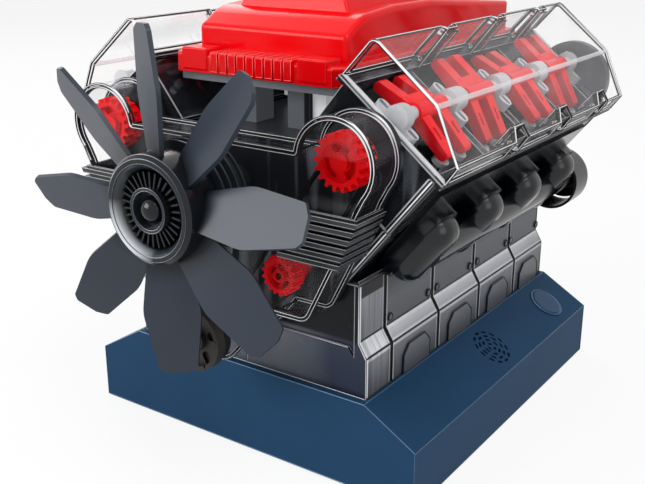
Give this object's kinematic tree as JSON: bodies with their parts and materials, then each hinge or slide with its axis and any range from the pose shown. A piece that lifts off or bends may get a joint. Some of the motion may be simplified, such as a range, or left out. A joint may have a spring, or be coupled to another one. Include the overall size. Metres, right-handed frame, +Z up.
{
  "type": "four stroke engine model",
  "caption": "See-through V engine demonstration kit with belt-driven fan, rocker gear, exhaust manifolds and a red intake cover, on a sounding base with a push button.",
  "frame": {"origin": "centre of the middle foot's underside, in the plane that the kit stands on", "axes": "+X to the right bank as seen from the fan, +Y from the fan to the rear along the crankshaft, +Z up"},
  "size_m": [0.2552, 0.309, 0.2586],
  "materials": {
    "navy_plastic": "satin",
    "battery_wrap": "gloss",
    "black_plastic": "matt",
    "clear_smoke": "gloss",
    "clear_plastic": "gloss",
    "motor_steel": "brushed",
    "crank_metal": "satin",
    "grey_plastic": "satin",
    "light_grey_plastic": "satin",
    "dark_grey_plastic": "satin",
    "screw_steel": "satin",
    "red_plastic": "gloss",
    "belt_rubber": "matt",
    "brown_grey_plastic": "satin",
    "slate_plastic": "satin",
    "black_satin": "satin"
  },
  "bodies": {
    "engine": {"base_shell": "navy_plastic", "base_plate": "navy_plastic", "battery_door": "navy_plastic", "batteries": "battery_wrap", "speaker": "black_plastic", "crankcase_right": "clear_smoke", "crankcase_left": "clear_smoke", "drive_motor": "motor_steel", "engine_block": "clear_smoke", "cylinder_liners": "clear_smoke", "head_right": "clear_smoke", "head_left": "clear_smoke", "valve_cover_right": "clear_plastic", "valve_cover_left": "clear_plastic", "screws": "screw_steel", "rocker_caps": "light_grey_plastic", "rocker_shafts": "light_grey_plastic", "rear_drums": "dark_grey_plastic", "timing_case": "clear_smoke", "timing_cover": "clear_plastic", "fin_blocks": "light_grey_plastic", "drive_belts": "belt_rubber", "exhaust_right": "black_satin", "exhaust_left": "black_satin", "intake_cover": "red_plastic", "intake_manifold": "light_grey_plastic"},
    "button": {"sound_button": "navy_plastic"},
    "crank": {"crankshaft": "crank_metal", "crank_pulley": "brown_grey_plastic"},
    "fan_body": {"fan": "slate_plastic", "fan_shaft": "slate_plastic"},
    "cam_right": {"camshaft_right": "grey_plastic", "cam_gear_right": "red_plastic"},
    "cam_left": {"camshaft_left": "grey_plastic", "cam_gear_left": "red_plastic"},
    "idler_right": {"idler_gear_right": "red_plastic"},
    "idler_left": {"idler_gear_left": "red_plastic"},
    "rods_outer_body": {"rods_outer": "grey_plastic"},
    "rods_inner_body": {"rods_inner": "grey_plastic"},
    "pistons_right_outer_body": {"pistons_right_outer": "grey_plastic"},
    "pistons_right_inner_body": {"pistons_right_inner": "grey_plastic"},
    "rocker_right_1_body": {"rocker_right_1": "red_plastic"},
    "valves_right_1_body": {"valves_right_1": "light_grey_plastic"},
    "rocker_right_2_body": {"rocker_right_2": "red_plastic"},
    "valves_right_2_body": {"valves_right_2": "light_grey_plastic"},
    "rocker_right_3_body": {"rocker_right_3": "red_plastic"},
    "valves_right_3_body": {"valves_right_3": "light_grey_plastic"},
    "rocker_right_4_body": {"rocker_right_4": "red_plastic"},
    "valves_right_4_body": {"valves_right_4": "light_grey_plastic"},
    "pistons_left_outer_body": {"pistons_left_outer": "grey_plastic"},
    "pistons_left_inner_body": {"pistons_left_inner": "grey_plastic"},
    "rocker_left_1_body": {"rocker_left_1": "red_plastic"},
    "valves_left_1_body": {"valves_left_1": "light_grey_plastic"},
    "rocker_left_2_body": {"rocker_left_2": "red_plastic"},
    "valves_left_2_body": {"valves_left_2": "light_grey_plastic"},
    "rocker_left_3_body": {"rocker_left_3": "red_plastic"},
    "valves_left_3_body": {"valves_left_3": "light_grey_plastic"},
    "rocker_left_4_body": {"rocker_left_4": "red_plastic"},
    "valves_left_4_body": {"valves_left_4": "light_grey_plastic"}
  },
  "joints": [
    {"name": "crank_spin", "type": "hinge", "parent": "engine", "child": "crank", "pos_m": [0, 0, 0.085], "axis": [0, 1, 0], "continuous": true},
    {"name": "fan_spin", "type": "hinge", "parent": "engine", "child": "fan_body", "pos_m": [0, 0, 0.163], "axis": [0, 1, 0], "continuous": true},
    {"name": "cam_spin_right", "type": "hinge", "parent": "engine", "child": "cam_right", "pos_m": [0.07653, 0, 0.18757], "axis": [0, 1, 0], "continuous": true},
    {"name": "idler_spin_right", "type": "hinge", "parent": "engine", "child": "idler_right", "pos_m": [0.04, 0, 0.1225], "axis": [0, 1, 0], "continuous": true},
    {"name": "cam_spin_left", "type": "hinge", "parent": "engine", "child": "cam_left", "pos_m": [-0.07653, 0, 0.18757], "axis": [0, 1, 0], "continuous": true},
    {"name": "idler_spin_left", "type": "hinge", "parent": "engine", "child": "idler_left", "pos_m": [-0.04, 0, 0.1225], "axis": [0, 1, 0], "continuous": true},
    {"name": "rods_outer_turn", "type": "hinge", "parent": "crank", "child": "rods_outer_body", "pos_m": [0, 0, 0.092], "axis": [0, 1, 0], "continuous": true},
    {"name": "rods_inner_turn", "type": "hinge", "parent": "crank", "child": "rods_inner_body", "pos_m": [0, 0, 0.078], "axis": [0, 1, 0], "continuous": true},
    {"name": "piston_right_outer_slide", "type": "slide", "parent": "engine", "child": "pistons_right_outer_body", "axis": [0.6252, 0, 0.7804], "range_m": [-0.01235, 0.00165]},
    {"name": "piston_right_inner_slide", "type": "slide", "parent": "engine", "child": "pistons_right_inner_body", "axis": [0.6252, 0, 0.7804], "range_m": [-0.00143, 0.01257]},
    {"name": "piston_left_outer_slide", "type": "slide", "parent": "engine", "child": "pistons_left_outer_body", "axis": [-0.6252, 0, 0.7804], "range_m": [-0.01235, 0.00165]},
    {"name": "piston_left_inner_slide", "type": "slide", "parent": "engine", "child": "pistons_left_inner_body", "axis": [-0.6252, 0, 0.7804], "range_m": [-0.00143, 0.01257]},
    {"name": "rocker_right_1_tip", "type": "hinge", "parent": "engine", "child": "rocker_right_1_body", "pos_m": [0.09192, 0, 0.20613], "axis": [0, 1, 0], "range_deg": [0, 13]},
    {"name": "valves_right_1_slide", "type": "slide", "parent": "engine", "child": "valves_right_1_body", "axis": [-0.6252, 0, -0.7804], "range_m": [0, 0.0057]},
    {"name": "rocker_right_2_tip", "type": "hinge", "parent": "engine", "child": "rocker_right_2_body", "pos_m": [0.09192, 0, 0.20613], "axis": [0, 1, 0], "range_deg": [-13, 0]},
    {"name": "valves_right_2_slide", "type": "slide", "parent": "engine", "child": "valves_right_2_body", "axis": [-0.6252, 0, -0.7804], "range_m": [-0.0057, 0]},
    {"name": "rocker_right_3_tip", "type": "hinge", "parent": "engine", "child": "rocker_right_3_body", "pos_m": [0.09192, 0, 0.20613], "axis": [0, 1, 0], "range_deg": [0, 13]},
    {"name": "valves_right_3_slide", "type": "slide", "parent": "engine", "child": "valves_right_3_body", "axis": [-0.6252, 0, -0.7804], "range_m": [0, 0.0057]},
    {"name": "rocker_right_4_tip", "type": "hinge", "parent": "engine", "child": "rocker_right_4_body", "pos_m": [0.09192, 0, 0.20613], "axis": [0, 1, 0], "range_deg": [-13, 0]},
    {"name": "valves_right_4_slide", "type": "slide", "parent": "engine", "child": "valves_right_4_body", "axis": [-0.6252, 0, -0.7804], "range_m": [-0.0057, 0]},
    {"name": "rocker_left_1_tip", "type": "hinge", "parent": "engine", "child": "rocker_left_1_body", "pos_m": [-0.09192, 0, 0.20613], "axis": [0, -1, 0], "range_deg": [0, 13]},
    {"name": "valves_left_1_slide", "type": "slide", "parent": "engine", "child": "valves_left_1_body", "axis": [0.6252, 0, -0.7804], "range_m": [0, 0.0057]},
    {"name": "rocker_left_2_tip", "type": "hinge", "parent": "engine", "child": "rocker_left_2_body", "pos_m": [-0.09192, 0, 0.20613], "axis": [0, -1, 0], "range_deg": [-13, 0]},
    {"name": "valves_left_2_slide", "type": "slide", "parent": "engine", "child": "valves_left_2_body", "axis": [0.6252, 0, -0.7804], "range_m": [-0.0057, 0]},
    {"name": "rocker_left_3_tip", "type": "hinge", "parent": "engine", "child": "rocker_left_3_body", "pos_m": [-0.09192, 0, 0.20613], "axis": [0, -1, 0], "range_deg": [0, 13]},
    {"name": "valves_left_3_slide", "type": "slide", "parent": "engine", "child": "valves_left_3_body", "axis": [0.6252, 0, -0.7804], "range_m": [0, 0.0057]},
    {"name": "rocker_left_4_tip", "type": "hinge", "parent": "engine", "child": "rocker_left_4_body", "pos_m": [-0.09192, 0, 0.20613], "axis": [0, -1, 0], "range_deg": [-13, 0]},
    {"name": "valves_left_4_slide", "type": "slide", "parent": "engine", "child": "valves_left_4_body", "axis": [0.6252, 0, -0.7804], "range_m": [-0.0057, 0]},
    {"name": "button_press", "type": "slide", "parent": "engine", "child": "button", "axis": [-0.5073, 0, -0.8618], "range_m": [0, 0.0015], "stiffness_N_per_m": 1500}
  ],
  "couplings": [
    {"joint": "fan_spin", "follows": "crank_spin", "ratio": 0.5},
    {"joint": "cam_spin_right", "follows": "crank_spin", "ratio": 0.5},
    {"joint": "idler_spin_right", "follows": "crank_spin", "ratio": 0.62353},
    {"joint": "cam_spin_left", "follows": "crank_spin", "ratio": 0.5},
    {"joint": "idler_spin_left", "follows": "crank_spin", "ratio": 0.62353},
    {"joint": "rods_outer_turn", "follows": "crank_spin", "ratio": -1},
    {"joint": "rods_inner_turn", "follows": "crank_spin", "ratio": -1},
    {"joint": "valves_right_1_slide", "follows": "rocker_right_1_tip", "m_per_rad": 0.025},
    {"joint": "valves_right_2_slide", "follows": "rocker_right_2_tip", "m_per_rad": 0.025},
    {"joint": "valves_right_3_slide", "follows": "rocker_right_3_tip", "m_per_rad": 0.025},
    {"joint": "valves_right_4_slide", "follows": "rocker_right_4_tip", "m_per_rad": 0.025},
    {"joint": "valves_left_1_slide", "follows": "rocker_left_1_tip", "m_per_rad": 0.025},
    {"joint": "valves_left_2_slide", "follows": "rocker_left_2_tip", "m_per_rad": 0.025},
    {"joint": "valves_left_3_slide", "follows": "rocker_left_3_tip", "m_per_rad": 0.025},
    {"joint": "valves_left_4_slide", "follows": "rocker_left_4_tip", "m_per_rad": 0.025}
  ]
}
